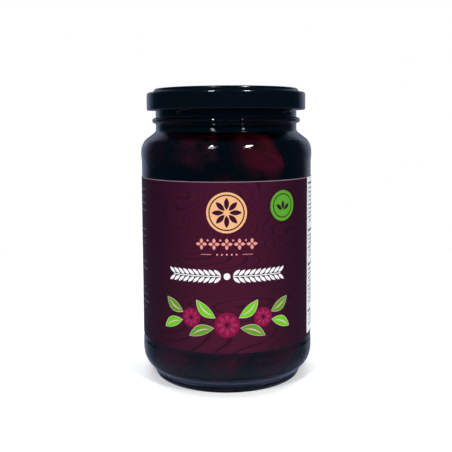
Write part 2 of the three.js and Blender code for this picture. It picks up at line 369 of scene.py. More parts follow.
def flint_glass():
    """Clear pressed glass, fire polished: slow waves break its highlights, and it is darker edge on."""
    made, tree, shader = surface(
        "flint_glass_pressed", Base_Color=linear("#FBFDFC"), Roughness=0, IOR=1.52, Transmission_Weight=1
    )
    where = add(tree, "ShaderNodeTexCoord").outputs["Object"]
    waves = add(tree, "ShaderNodeTexNoise", {"Vector": where, "Scale": per_mm(GLASS_WAVES), "Detail": 2})
    ripple = add(tree, "ShaderNodeTexNoise", {"Vector": where, "Scale": per_mm(GLASS_RIPPLES), "Detail": 1})
    fine = add(tree, "ShaderNodeMath", {0: ripple.outputs["Fac"], 1: RIPPLE_SHARE}, operation="MULTIPLY")
    height = add(tree, "ShaderNodeMath", {0: waves.outputs["Fac"], 1: fine.outputs[0]}, operation="ADD")
    bumped(tree, shader, height.outputs[0], GLASS_DEEP)
    tint = add(tree, "ShaderNodeVolumeAbsorption", {"Color": linear("#CBDADF"), "Density": 45})
    tree.links.new(tint.outputs[0], tree.nodes["Material Output"].inputs["Volume"])
    return made


def black_lacquer():
    """Stoved black lacquer on tinplate: deep gloss with a fine orange peel."""
    made, tree, shader = surface(
        "black_lacquered_tinplate", Base_Color=linear("#050A10"), Roughness=0.12, IOR=1.5
    )
    where = add(tree, "ShaderNodeTexCoord").outputs["Object"]
    peel = add(tree, "ShaderNodeTexNoise", {"Vector": where, "Scale": per_mm(PEEL), "Detail": 2})
    bumped(tree, shader, peel.outputs["Fac"], PEEL_DEEP)
    return made


def burgundy_paper():
    """Coated paper printed burgundy, with painted shade that darkens it to the sides, and dark lines that
    wander like growth rings.
    """
    made, tree, shader = surface("coated_paper_burgundy", Roughness=0.5, IOR=1.4, Specular_IOR_Level=0.22)
    where = add(tree, "ShaderNodeTexCoord").outputs["Object"]
    part = add(tree, "ShaderNodeSeparateXYZ", {0: where}).outputs
    back = add(tree, "ShaderNodeMath", {0: part["Y"], 1: -1.0}, operation="MULTIPLY").outputs[0]
    turn = add(tree, "ShaderNodeMath", {0: part["X"], 1: back}, operation="ARCTAN2").outputs[0]
    along = add(tree, "ShaderNodeMath", {0: turn, 1: LABEL_FACE * MM}, operation="MULTIPLY").outputs[0]
    flat = add(tree, "ShaderNodeCombineXYZ", {"X": along, "Y": part["Z"]}).outputs[0]
    stretched = add(tree, "ShaderNodeMapping", {"Vector": flat, "Scale": (GRAIN_STRETCH, 1, 1)}).outputs[0]
    field = add(
        tree,
        "ShaderNodeTexNoise",
        {
            "Vector": stretched,
            "Scale": per_mm(GRAIN_SWIRL),
            "Detail": 1,
            "Roughness": 0.3,
            "Distortion": 0.5,
        },
        noise_dimensions="2D",
    )
    rise = add(
        tree, "ShaderNodeMath", {0: part["Z"], 1: per_mm(GRAIN_PITCH)}, operation="MULTIPLY"
    ).outputs[0]
    rings = add(
        tree, "ShaderNodeMath", {0: field.outputs["Fac"], 1: GRAIN_LINES, 2: rise}, operation="MULTIPLY_ADD"
    ).outputs[0]
    saw = add(tree, "ShaderNodeMath", {0: rings, 1: 0.5}, operation="PINGPONG").outputs[0]
    line = add(
        tree,
        "ShaderNodeMapRange",
        {"Value": saw, "From Min": 0, "From Max": GRAIN_LINE, "To Min": 1, "To Max": 0},
    ).outputs[0]
    # Painted shade: the burgundy darkens with the turn away from the front, as if the sides were less lit
    aside = add(tree, "ShaderNodeMath", {0: turn}, operation="ABSOLUTE").outputs[0]
    fade = add(
        tree,
        "ShaderNodeMapRange",
        {"Value": aside, "From Min": PAINTED_SHADE_FROM, "From Max": PAINTED_SHADE_TO, "To Min": 0, "To Max": 1},
        interpolation_type="SMOOTHSTEP",
    ).outputs[0]
    # The paper's burgundy at the front, and the same burgundy darkened by painted shade at the sides
    ground = add(
        tree, "ShaderNodeMix", {"Factor": fade, 6: linear("#48092A"), 7: linear("#320922")}, data_type="RGBA"
    ).outputs[2]
    colour = add(tree, "ShaderNodeMix", {"Factor": line, 6: ground, 7: linear("#240717")}, data_type="RGBA")
    tree.links.new(colour.outputs[2], shader.inputs["Base Color"])
    fibre = add(tree, "ShaderNodeTexNoise", {"Vector": where, "Scale": per_mm(FIBRE), "Detail": 3})
    bumped(tree, shader, fibre.outputs["Fac"], FIBRE_DEEP)
    return made


def ink(name, code):
    """Offset ink on the coated paper, a little uneven in its cover."""
    made, tree, shader = surface(name, Roughness=0.42, IOR=1.48, Specular_IOR_Level=0.15)
    where = add(tree, "ShaderNodeTexCoord").outputs["Object"]
    cover = add(tree, "ShaderNodeTexNoise", {"Vector": where, "Scale": per_mm(INK_COVER), "Detail": 3})
    shade = add(tree, "ShaderNodeMapRange", {"Value": cover.outputs["Fac"], "To Min": 0.86, "To Max": 1.1})
    colour = add(
        tree,
        "ShaderNodeMix",
        {"Factor": 1.0, 6: linear(code), 7: shade.outputs[0]},
        data_type="RGBA",
        blend_type="MULTIPLY",
    )
    tree.links.new(colour.outputs[2], shader.inputs["Base Color"])
    return made


def olive_skin():
    """Skin of ripe olives, dark purple to red, mottled and pored. Its gloss is almost lost in the brine."""
    made, tree, shader = surface("wet_olive_skin", Roughness=0.35, IOR=1.05)
    where = add(tree, "ShaderNodeTexCoord").outputs["Object"]
    tone = add(tree, "ShaderNodeAttribute", attribute_name="tone").outputs["Fac"]
    mottle = add(tree, "ShaderNodeTexNoise", {"Vector": where, "Scale": per_mm(MOTTLE), "Detail": 4})
    spread = add(tree, "ShaderNodeMapRange", {"Value": mottle.outputs["Fac"], "To Min": -0.5, "To Max": 0.4})
    ripe = add(tree, "ShaderNodeMath", {0: tone, 1: spread.outputs[0]}, operation="ADD", use_clamp=True)
    colour = add(
        tree,
        "ShaderNodeMix",
        {"Factor": ripe.outputs[0], 6: linear("#341020"), 7: linear("#BC1458")},
        data_type="RGBA",
    )
    tree.links.new(colour.outputs[2], shader.inputs["Base Color"])
    pores = add(tree, "ShaderNodeTexVoronoi", {"Vector": where, "Scale": per_mm(PORES)})
    folds = add(tree, "ShaderNodeTexNoise", {"Vector": where, "Scale": per_mm(FOLDS), "Detail": 3})
    height = add(
        tree, "ShaderNodeMath", {0: pores.outputs["Distance"], 1: folds.outputs["Fac"]}, operation="ADD"
    )
    bumped(tree, shader, height.outputs[0], SKIN_DEEP)
    return made


def dark_brine():
    """Salt water stained by the olives: clear, and darker and redder the deeper it is seen into."""
    made, tree, _ = surface("dark_brine", Roughness=0, IOR=1.34, Transmission_Weight=1)
    stain = add(tree, "ShaderNodeVolumeAbsorption", {"Color": linear("#D7598B"), "Density": 300})
    tree.links.new(stain.outputs[0], tree.nodes["Material Output"].inputs["Volume"])
    return made


def matt_white():
    """Matt white board with a faint grain, for the table. It glows a little, so that it reads as white."""
    made, tree, shader = surface(
        "matt_white_board",
        Base_Color=linear("#E8E8E8"),
        Roughness=0.7,
        Emission_Color=linear("#FFFFFF"),
        Emission_Strength=0.35,
    )
    where = add(tree, "ShaderNodeTexCoord").outputs["Object"]
    grain = add(tree, "ShaderNodeTexNoise", {"Vector": where, "Scale": per_mm(BOARD_GRAIN), "Detail": 3})
    bumped(tree, shader, grain.outputs["Fac"], BOARD_DEEP)
    return made


# Glass jar


def glass_outside():
    """Outside of the glass from the middle of the base up to the rim."""
    heel_centre = LAND_RADIUS - HEEL_REACH
    shoulder_centre = LAND_RADIUS - SHOULDER_REACH
    neck_rows = 34
    neck_from = BEAD_HEIGHT + BEAD_HALF
    neck_to = RIM_HEIGHT - RIM_EDGE
    return [
        (0, PUNT_RISE),
        (BEARING_RADIUS / 2, PUNT_RISE * 0.8),
        (BEARING_RADIUS - PUNT_LIP, PUNT_LIP_HIGH),
        (BEARING_RADIUS, 0),
        *((BEARING_RADIUS + (FOOT_RADIUS - FOOT_EDGE - BEARING_RADIUS) * i / 4, 0) for i in range(1, 5)),
        *arc(FOOT_RADIUS - FOOT_EDGE, FOOT_EDGE, FOOT_EDGE, FOOT_EDGE, -90, 0, 4),
        (FOOT_RADIUS, FOOT_HEIGHT),
        (FOOT_RADIUS + FOOT_LEDGE, FOOT_HEIGHT + FOOT_LEDGE),
        *arc(heel_centre, HEEL_TOP, HEEL_REACH, HEEL_DROP, -ROUND_END_DEG - 10, 0, 14),
        (LAND_RADIUS, PANEL_LOW - LOW_SLOPE),
        *((PANEL_RADIUS, z) for z in (PANEL_LOW, PANEL_LOW + 1, PANEL_HIGH - 1, PANEL_HIGH)),
        (LAND_RADIUS, PANEL_HIGH + HIGH_SLOPE),
        (LAND_RADIUS, SHOULDER_LOW),
        *arc(shoulder_centre, SHOULDER_LOW, SHOULDER_REACH, SHOULDER_RISE, 0, ROUND_END_DEG, 14),
        (NECK_RADIUS + NECK_FILLET, NECK_LOW - NECK_FILLET),
        (NECK_RADIUS + NECK_FILLET / 4, NECK_LOW - NECK_FILLET / 4),
        (NECK_RADIUS, NECK_LOW + NECK_FILLET / 2),
        (NECK_RADIUS, BEAD_HEIGHT - BEAD_HALF),
        *arc(NECK_RADIUS, BEAD_HEIGHT, BEAD_REACH, BEAD_HALF, -90, 90, 14),
        *((NECK_RADIUS, neck_from + (neck_to - neck_from) * (i + 1) / neck_rows) for i in range(neck_rows)),
        (NECK_RADIUS - RIM_EDGE, RIM_HEIGHT),
    ]


def glass_inside(shoulder_steps, floor_steps, into_wall=0):
    """Inside of the glass from the rim down to the middle of the floor, or that far into the wall."""
    bore = BORE_RADIUS + into_wall
    mouth = MOUTH_RADIUS + into_wall
    bottom = FLOOR_HEIGHT - into_wall
    round_top = bottom + FLOOR_ROUND
    shoulder_centre = bore - SHOULDER_REACH, SHOULDER_LOW - 1
    shoulder_from = ROUND_END_DEG + 12
    return [
        (mouth + RIM_EDGE, RIM_HEIGHT),
        (mouth, RIM_HEIGHT - RIM_EDGE),
        (mouth, NECK_LOW),
        (mouth + NECK_FILLET, NECK_LOW - 2 * NECK_FILLET),
        *arc(*shoulder_centre, SHOULDER_REACH, SHOULDER_RISE, shoulder_from, 0, shoulder_steps),
        (bore, round_top),
        *arc(bore - FLOOR_ROUND, round_top, FLOOR_ROUND, FLOOR_ROUND, 0, -90, floor_steps),
        (0, bottom),
    ]


def ramp_height(turn_deg, z):
    """How far a thread ramp stands out of the neck at a turn and a height."""
    climb = ((turn_deg - RAMP_START_DEG) % (360 / LUGS)) / RAMP_SPAN_DEG
    if climb > 1:
        return 0
    off = abs(z - (RAMP_LOW + (RAMP_HIGH - RAMP_LOW) * climb)) / RAMP_RADIUS
    fade = min(1, climb / RAMP_FADE, (1 - climb) / RAMP_FADE)
    return (RAMP_RADIUS + RAMP_SINK) * sqrt(max(0, 1 - off * off)) * fade


def make_glass_jar():
    bm = spun(softened(glass_outside(), GLASS_SOFT) + glass_inside(16, 16))
    for v in bm.verts:
        reach = hypot(v.co.x, v.co.y)
        turn_deg = degrees(atan2(v.co.x, -v.co.y))
        if reach > NECK_RADIUS - 0.1 and v.co.z > BEAD_HEIGHT + BEAD_HALF:
            v.co.xy *= 1 + ramp_height(turn_deg, v.co.z) / reach
        if v.co.z < 0.01 and round(turn_deg * ROUND_STEPS / 360) % 2:
            v.co.z = KNURL
    piece = finished(bm, "jar_glass", [flint_glass()])
    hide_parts("glass_jar")


# Lid


def lid_profile():
    """Section of the pressed lid with its seal ring, curled hem, dish and button, from below to above."""
    inner = LID_RADIUS - LID_SHEET
    under = LID_TOP - LID_SHEET
    seal_low = RIM_HEIGHT + SEAL_GAP
    curl_centre = LID_RADIUS - CURL
    knee_centre = LID_RADIUS - KNEE
    return [
        (0, under),
        (BUTTON_RADIUS, under),
        (BUTTON_RADIUS + DISH_SLOPE, under - DISH_DEEP),
        (SEAL_INNER - PLATEAU_EDGE, under - DISH_DEEP),
        (SEAL_INNER, seal_low),
        (PLATEAU_RADIUS - LID_SHEET, seal_low),
        (PLATEAU_RADIUS, SHELF_HEIGHT - LID_SHEET),
        (knee_centre, SHELF_HEIGHT - LID_SHEET),
        *arc(knee_centre, SHELF_HEIGHT - KNEE, KNEE - LID_SHEET, KNEE - LID_SHEET, 90, 0, 6),
        (inner, LID_LOW + 3 * CURL),
        (curl_centre - CURL, LID_LOW + 2 * CURL),
        *arc(curl_centre, LID_LOW + CURL, CURL, CURL, -180, 0, 10),
        *arc(knee_centre, SHELF_HEIGHT - KNEE, KNEE, KNEE, 0, 90, 10),
        (PLATEAU_RADIUS + PLATEAU_EDGE / 2, STEP_HEIGHT),
        *arc(PLATEAU_RADIUS - PLATEAU_EDGE, LID_TOP - PLATEAU_EDGE, PLATEAU_EDGE, PLATEAU_EDGE, 0, 90, 8),
        (DISH_RADIUS + DISH_SLOPE, LID_TOP),
        (DISH_RADIUS, LID_TOP - DISH_DEEP),
        (BUTTON_RADIUS + DISH_SLOPE, LID_TOP - DISH_DEEP),
        (BUTTON_RADIUS, LID_TOP),
        (0, LID_TOP),
    ]


def make_lid():
    bm = spun(softened(lid_profile(), LID_SOFT))
    for i in range(LUGS):
        made = bmesh.ops.create_cube(bm, size=1)["verts"]
        bmesh.ops.scale(bm, vec=(LUG_WIDE, LUG_DEEP, LUG_HIGH), verts=made)
        bmesh.ops.translate(bm, vec=(0, -LUG_INNER - LUG_DEEP / 2, LUG_LOW + LUG_HIGH / 2), verts=made)
        edges = {e for v in made for e in v.link_edges}
        soft = bmesh.ops.bevel(
            bm, geom=list(edges), offset=LUG_EDGE, segments=3, profile=0.5, affect="EDGES", material=-1
        )
        lug = {v for f in soft["faces"] for v in f.verts}
        turn = Matrix.Rotation(radians(LUG_DEG + i * 360 / LUGS), 3, "Z")
        bmesh.ops.rotate(bm, cent=(0, 0, 0), matrix=turn, verts=list(lug))
    piece = finished(bm, "lid_shell", [black_lacquer()])
    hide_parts("lid")


# Label


def make_label(paper, bare):
    """The strip of paper: printed face and bare edges, with a pale band of the bare edge colour along the
    top of the face as a painted highlight of the lit top edge.
    """
    bm = bmesh.new()
    inner = LABEL_FACE - LABEL_PAPER
    section = [
        (inner, LABEL_LOW),
        (LABEL_FACE, LABEL_LOW),
        (LABEL_FACE, LABEL_HIGH - TOP_HIGHLIGHT_BAND),
        (LABEL_FACE, LABEL_HIGH),
        (inner, LABEL_HIGH),
    ]
    line = [bm.verts.new((0, -r, z)) for r, z in section]
    bmesh.ops.rotate(
        bm, cent=(0, 0, 0), matrix=Matrix.Rotation(radians(-LABEL_HALF_DEG), 3, "Z"), verts=line
    )
    start = bm.faces.new(line)
    bmesh.ops.spin(
        bm,
        geom=[start],
        cent=(0, 0, 0),
        axis=(0, 0, 1),
        angle=radians(2 * LABEL_HALF_DEG),
        steps=LABEL_STEPS,
        use_merge=False,
    )
    bmesh.ops.remove_doubles(bm, verts=bm.verts, dist=MERGE)
    bmesh.ops.recalc_face_normals(bm, faces=bm.faces)
    for f in bm.faces:
        centre = f.calc_center_median()
        outside = hypot(centre.x, centre.y) > LABEL_FACE - LABEL_PAPER / 4
        f.material_index = 0 if outside and centre.z < LABEL_HIGH - TOP_HIGHLIGHT_BAND else 1
    piece = finished(bm, "label_paper", [paper, bare])
    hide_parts("label")


# Seeded draws


class Draw:
    """A seeded draw between 0 and 1."""

    def __init__(self, seed):
        self.state = seed

    def __call__(self):
        self.state = (self.state * 1664525 + 1013904223) % 2**32
        return self.state / 2**32


# Print: flat shapes laid out in millimetres, along the paper from its front and up the jar


def stepped(at, reach, turn_deg):
    """The place that lies this far from another, along a turn."""
    turn = radians(turn_deg)
    return at[0] + reach * cos(turn), at[1] + reach * sin(turn)


def disc(bm, at, radius, sides=40):
    made = bmesh.ops.create_circle(bm, cap_ends=True, segments=sides, radius=radius)["verts"]
    bmesh.ops.translate(bm, vec=(*at, 0), verts=made)


def ring(bm, at, outer, inner, sides=48):
    rims = [bmesh.ops.create_circle(bm, segments=sides, radius=radius)["verts"] for radius in (outer, inner)]
    edges = {e for rim in rims for v in rim for e in v.link_edges}
    bmesh.ops.bridge_loops(bm, edges=list(edges))
    bmesh.ops.translate(bm, vec=(*at, 0), verts=rims[0] + rims[1])


def bar(bm, at, wide, high):
    made = bmesh.ops.create_grid(bm, x_segments=1, y_segments=1, size=0.5)["verts"]
    bmesh.ops.scale(bm, vec=(wide, high, 1), verts=made)
    bmesh.ops.translate(bm, vec=(*at, 0), verts=made)


def leaf(bm, at, length, wide, turn_deg, bend=0, sides=24):
    """A leaf with two points that starts at a place and lies along a turn, bent to one side."""
    made = bmesh.ops.create_circle(bm, cap_ends=True, segments=sides, radius=0.5)["verts"]
    for v in made:
        along = v.co.x + 0.5
        across = 2 * v.co.y * abs(v.co.y) * wide
        v.co.xy = along * length, across + 4 * bend * along * (1 - along)
    bmesh.ops.rotate(bm, cent=(0, 0, 0), matrix=Matrix.Rotation(radians(turn_deg), 3, "Z"), verts=made)
    bmesh.ops.translate(bm, vec=(*at, 0), verts=made)


def rosette(bm, at, inner, outer, wide, petals):
    """Petals that lie round a place."""
    for i in range(petals):
        turn_deg = 90 + 360 * i / petals
        leaf(bm, stepped(at, inner, turn_deg), outer - inner, wide, turn_deg)


def lines_of_bars(bm, draw, left, right, top, lines, pitch, high):
    """Lines of bars with gaps, as small text reads from a step away. The last line stops early."""
    for i in range(lines):
        u = left + BAR_INDENT * draw()
        if i < lines - 1:
            end = right - BAR_SPREAD * draw()
        else:
            end = left + (right - left) * (LAST_LINE + LAST_LINE_SPREAD * draw())
        while u < end - BAR_SHORTEST:
            wide = min(BAR_SHORTEST + BAR_SPREAD * draw(), end - u)
            bar(bm, (u + wide / 2, top - pitch * i), wide, high)
            u += wide + BAR_GAP


def printed(bm, name, colour, layer):
    """Gives flat shapes the thickness of ink, wraps them round the label and makes them a piece."""
    reaches = [v.co.x for v in bm.verts]
    for i in range(ceil(min(reaches) / STRIP), floor(max(reaches) / STRIP) + 1):
        geom = bm.verts[:] + bm.edges[:] + bm.faces[:]
        bmesh.ops.bisect_plane(bm, geom=geom, dist=MERGE, plane_co=(i * STRIP, 0, 0), plane_no=(1, 0, 0))
    raised = bmesh.ops.extrude_face_region(bm, geom=bm.faces[:])["geom"]
    top = [v for v in raised if isinstance(v, bmesh.types.BMVert)]
    bmesh.ops.translate(bm, vec=(0, 0, INK_SINK + INK * layer), verts=top)
    for v in bm.verts:
        turn = v.co.x / LABEL_FACE
        reach = LABEL_FACE - INK_SINK + v.co.z
        v.co = reach * sin(turn), -reach * cos(turn), v.co.y
    bmesh.ops.recalc_face_normals(bm, faces=bm.faces)
    finished(bm, name, [colour])


def print_medallion(peach, dark):
    field, flower = bmesh.new(), bmesh.new()
    disc(field, MEDALLION, MEDALLION_RADIUS)
    rosette(flower, MEDALLION, inner=1.1, outer=5.9, wide=2, petals=MEDALLION_PETALS)
    ring(flower, MEDALLION, outer=7.1, inner=6.6)
    printed(field, "medallion_field", peach, 1)
    printed(flower, "medallion_flower", dark, 2)


def print_quatrefoil_band(rose):
    """Quatrefoils and dots in a row, over two fine rules with dots between them."""
    bm = bmesh.new()
    for i in range(QUATREFOILS):
        u = QUATREFOIL_PITCH * (i - (QUATREFOILS - 1) / 2)
        rosette(bm, (u, BAND_HEIGHT), inner=0.3, outer=QUATREFOIL_RADIUS, wide=1.3, petals=4)
        if i:
            disc(bm, (u - QUATREFOIL_PITCH / 2, BAND_HEIGHT + BAND_DOT_RISE), radius=0.4, sides=16)
    for i in range(RULE_DOTS):
        disc(bm, (RULE_DOT_PITCH * (i - (RULE_DOTS - 1) / 2), RULE_HEIGHT), radius=0.36, sides=16)
    for side in (-1, 1):
        bar(bm, (side * RULE_MIDDLE, RULE_HEIGHT), wide=RULE_LENGTH, high=0.18)
    printed(bm, "quatrefoil_band", rose, 1)


def print_laurel(white):
    """Two laurel twigs that grow from a bud in the middle."""
    bm = bmesh.new()
    disc(bm, (0, LAUREL_HEIGHT), radius=1.3, sides=24)
    for side in (-1, 1):
        bar(bm, (side * (LAUREL_FROM + LAUREL_TO) / 2, LAUREL_HEIGHT), LAUREL_TO - LAUREL_FROM, LAUREL_STEM)
        for i in range(LAUREL_PAIRS):
            u = side * (LAUREL_FROM + LAUREL_PITCH * i)
            for up in (-1, 1):
                lean = LAUREL_LEAN_DEG * up
                turn_deg = lean if side > 0 else 180 - lean
                leaf(bm, (u, LAUREL_HEIGHT + LAUREL_STEM * up), length=3.5, wide=1.25, turn_deg=turn_deg)
    printed(bm, "laurel", white, 1)


def print_garland(pale, light, deep, crimson, rose, dark):
    """Three flowers with leaves between them, the same to the left and to the right."""
    edges, ribs, flowers, petals, hearts = (bmesh.new() for _ in range(5))
    tones = bmesh.new(), bmesh.new()
    for at, turn_deg, length, bend, tone in GARLAND_LEAVES:
        for side in (-1, 1):
            place = side * at[0], at[1]
            turn = turn_deg if side > 0 else 180 - turn_deg
            leaf(edges, place, length, LEAF_WIDTH, turn, side * bend)
            inset = stepped(place, LEAF_EDGE * 2, turn)
            leaf(tones[tone], inset, length - LEAF_EDGE * 4, LEAF_WIDTH - LEAF_EDGE * 2, turn, side * bend)
            rib = stepped(place, length * RIB_FROM, turn)
            leaf(ribs, rib, length * RIB_LENGTH, LEAF_RIB, turn, side * bend)
    for at, radius in GARLAND_FLOWERS:
        disc(flowers, at, radius)
        rosette(
            petals, at, inner=radius * 0.26, outer=radius * 0.86, wide=radius * 0.34, petals=FLOWER_PETALS
        )
        disc(hearts, at, radius * 0.16, sides=20)
    printed(edges, "leaf_edges", pale, 1)
    printed(tones[0], "leaves_light", light, 2)
    printed(tones[1], "leaves_deep", deep, 2)
    printed(ribs, "leaf_ribs", pale, 3)
    printed(flowers, "flowers", crimson, 4)
    printed(petals, "flower_petals", rose, 5)
    printed(hearts, "flower_hearts", dark, 5)


def print_seal(green, dark):
    field, twig = bmesh.new(), bmesh.new()
    disc(field, SEAL, SEAL_RADIUS)
    ring(twig, SEAL, outer=SEAL_RADIUS * 0.8, inner=SEAL_RADIUS * 0.73)
    root = SEAL[0], SEAL[1] - SEAL_ROOT_DROP
    for turn_deg in (90 - SEAL_SPREAD_DEG, 90, 90 + SEAL_SPREAD_DEG):
        leaf(twig, stepped(root, 0.7, turn_deg), length=3.6, wide=1.5, turn_deg=turn_deg)
    printed(field, "seal_field", green, 1)
    printed(twig, "seal_twig", dark, 2)


def print_side_panels(white, grey, pale):
    """A white field on the right with lines of bars, a ruled table and stripes, and dim bars on the left."""
    draw = Draw(PRINT_SEED)
    field, right_bars, left_bars = bmesh.new(), bmesh.new(), bmesh.new()
    wide, high = FIELD_TO - FIELD_FROM, LABEL_HIGH - FIELD_LOW
    bar(field, (FIELD_FROM + wide / 2, FIELD_LOW + high / 2), wide, high)
    for column, top, lines in RIGHT_BLOCKS:
        left, right = COLUMNS[column]
        heading = HEADING_SHORTEST + HEADING_SPREAD * draw()
        bar(right_bars, (left + heading / 2, top + HEADING_RISE), heading, HEADING_BAR)
        lines_of_bars(right_bars, draw, left, right, top, lines, RIGHT_PITCH, RIGHT_BAR)
    left, right = COLUMNS[1]
    for i in range(TABLE_ROWS):
        height = TABLE_TOP - TABLE_PITCH * i
        entry = ENTRY_SHORTEST + ENTRY_SPREAD * draw()
        bar(right_bars, ((left + right) / 2, height - TABLE_PITCH / 2), right - left, TABLE_RULE)
        bar(right_bars, (left + ENTRY_INDENT + entry / 2, height), entry, TABLE_BAR)
        bar(right_bars, (right - FIGURE_MIDDLE, height), FIGURE_LENGTH, TABLE_BAR)
    u = STRIPES_FROM
    while u < STRIPES_TO:
        stripe = STRIPE_THINNEST + STRIPE_SPREAD * draw()
        bar(right_bars, (u, STRIPES_MIDDLE), stripe, STRIPES_HIGH)
        u += stripe + STRIPE_GAP + STRIPE_GAP_SPREAD * draw()
    for top, lines in LEFT_BLOCKS:
        lines_of_bars(left_bars, draw, LEFT_FROM, LEFT_TO, top, lines, LEFT_PITCH, LEFT_BAR)
    printed(field, "side_field", white, 1)
    printed(right_bars, "side_bars", grey, 2)
    printed(left_bars, "left_bars", pale, 1)


# Olives


def seated_olives(draw):
    """Where olives start: rings of seats with one in the middle, each olive lying at its own angle."""
    centres, axes, grows = [], [], []
    for layer in range(LAYERS):
        for seat in range(RING_SEATS + 1):
            turn = 2 * pi * (seat + layer / 2) / RING_SEATS
            reach = RING_RADIUS if seat < RING_SEATS else SEAT_STRAY * draw()
            lean = pi * draw()
            grows.append(1 + OLIVE_VARIES * (2 * draw() - 1))
            axes.append((cos(turn) * cos(lean), sin(turn) * cos(lean), sin(lean)))
            height = FLOOR_HEIGHT + LAYER_PITCH * (layer + 0.5) + SEAT_STRAY * (draw() - 0.5)
            centres.append((reach * sin(turn), -reach * cos(turn), height))
    return np.array(centres), np.array(axes), np.array(grows)


def pushes_off_glass(balls, radius, wall):
    """The push that takes each ball off the glass, whose inside is a line of (radius, height) points."""
    across = np.linalg.norm(balls[..., :2], axis=-1)
    here = np.stack([across, balls[..., 2]], -1)[..., None, :]
    start, along = wall[:-1], wall[1:] - wall[:-1]
    share = ((here - start) * along).sum(-1) / (along**2).sum(-1)
    gaps = here - start - np.clip(share, 0, 1)[..., None] * along
    nearest = np.linalg.norm(gaps, axis=-1).argmin(-1)[..., None, None]
    away = np.take_along_axis(gaps, nearest, -2)[..., 0, :]
    length = np.linalg.norm(away, axis=-1)
    away *= (np.maximum(0, radius + GLASS_CLEARANCE - length) / length)[..., None]
    return np.concatenate([balls[..., :2] * (away[..., :1] / across[..., None]), away[..., 1:]], -1)


def pushes_apart(balls, radius):
    """The push on each ball from the balls of other olives that it overlaps."""
    centres = balls.mean(1)
    near = np.linalg.norm(centres[:, None] - centres[None], axis=-1) < OLIVE_REACH
    one, other = np.nonzero(np.triu(near, 1))
    gaps = balls[one][:, :, None] - balls[other][:, None]
    lengths = np.linalg.norm(gaps, axis=-1)
    overlap = np.maximum(0, radius[one][:, :, None] + radius[other][:, None] - lengths)
    parts = gaps * (PUSH_SHARE * overlap / lengths)[..., None]
    total = np.zeros_like(balls)
    np.add.at(total, one, parts.sum(2))
    np.subtract.at(total, other, parts.sum(1))
    return total


def settled_olives(draw):
    """Olives at rest: they sink a little at each pass, and are pushed off the glass and off each other."""
    centres, axes, grows = seated_olives(draw)
    wall = [(0, OLIVES_TOP), (MOUTH_RADIUS, OLIVES_TOP)]
    wall = np.array(wall + [p for p in glass_inside(4, 5) if p[1] < OLIVES_TOP])
    half, wide = OLIVE_LENGTH / 2 * grows, OLIVE_WIDTH / 2 * grows
    focus = half**2 - wide**2
    along = (focus / half)[:, None] * np.linspace(-1, 1, LOBES)
    radius = wide[:, None] * np.sqrt(1 - along**2 / focus[:, None])
    for step in range(PASSES):
        balls = centres[:, None] + along[..., None] * axes[:, None]
        balls = balls + pushes_apart(balls, radius) + pushes_off_glass(balls, radius, wall)
        centres = balls.mean(1)
        axes = balls[:, -1] - balls[:, 0]
        axes /= np.linalg.norm(axes, axis=1)[:, None]
        if step < SETTLING_PASSES:
            centres[:, 2] -= SETTLE_STEP
    return centres, axes, grows


def olive_ball():
    """The ball that each olive is shaped from, with its place for a tone."""
    bm = bmesh.new()
    bm.verts.layers.float.new("tone")
    bmesh.ops.create_uvsphere(bm, u_segments=32, v_segments=20, radius=1)
    mesh = bpy.data.meshes.new("olive_ball")
    bm.to_mesh(mesh)
    bm.free()
    return mesh


def pressed_to_glass(place, wall):
    """A point of an olive's skin, kept just inside the glass, against which the skin lies flat."""
    heights, reaches = wall
    place.z = max(place.z, FLOOR_HEIGHT + SKIN_GAP)
    reach = hypot(place.x, place.y)
    limit = np.interp(place.z, heights, reaches) - SKIN_GAP
    if reach > limit:
        place.xy *= limit / reach
    return place


def add_olive(bm, ball, wall, centre, axis, grow, tone, seed):
    """One olive: an almond form, fuller at one end, with a small nib, a stem dimple and uneven sides."""
    first = len(bm.verts)
    bm.from_mesh(ball)
    bm.verts.ensure_lookup_table()
    tones = bm.verts.layers.float["tone"]
    turn = Vector((0, 0, 1)).rotation_difference(Vector(axis)).to_matrix()
    size = Vector((OLIVE_WIDTH / 2, OLIVE_WIDTH / 2, OLIVE_LENGTH / 2)) * grow
    for v in bm.verts[first:]:
        t = v.co.z
        lump = noise.noise(v.co * LUMPS + Vector((seed, 0, 0)))
        streak = noise.noise(Vector((v.co.x * STREAKS, v.co.y * STREAKS, t * STREAK_RUN + seed)))
        girth = (1 - TAPER * t) * (1 + LUMP_DEEP * lump) + STREAK_DEEP * streak
        tips = NIB * max(0, t) ** NIB_POINT - DIMPLE * max(0, -t) ** DIMPLE_POINT
        body = Vector((v.co.x * girth, v.co.y * girth, t * (1 + tips)))
        v.co = pressed_to_glass(turn @ (body * size) + Vector(centre), wall)
        v[tones] = tone * (1 + STREAK_TONE * streak)


def make_olives():
    centres, axes, grows = settled_olives(Draw(OLIVE_SEED))
    draw_tone = Draw(TONE_SEED)
    inside = glass_inside(16, 16)[::-1]
    wall = [z for r, z in inside], [r for r, z in inside]
    ball = olive_ball()
    bm = bmesh.new()
    for i, (centre, axis, grow) in enumerate(zip(centres, axes, grows)):
        tone = TONE_LEAST + (1 - TONE_LEAST) * draw_tone() ** 2
        add_olive(bm, ball, wall, centre, axis, grow, tone, i * OLIVE_APART)
    bpy.data.meshes.remove(ball)
    piece = finished(bm, "ripe_olives", [olive_skin()], sharp_deg=180)
    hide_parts("olives")


def make_brine():
    """The liquid, from its level down, drawn up a little at the wall and reaching just into the glass."""
    wall = [p for p in glass_inside(16, 16, BRINE_INTO_WALL) if p[1] < BRINE_TOP]
    mouth = MOUTH_RADIUS + BRINE_INTO_WALL
    level = BRINE_TOP - MENISCUS_HIGH
    top = [
        (0, level),
        (mouth - MENISCUS_WIDE, level),
        (mouth - MENISCUS_WIDE * 0.32, level + MENISCUS_HIGH * 0.6),
        (mouth, BRINE_TOP),
    ]
    finished(spun(top + wall), "brine", [dark_brine()])


# Studio


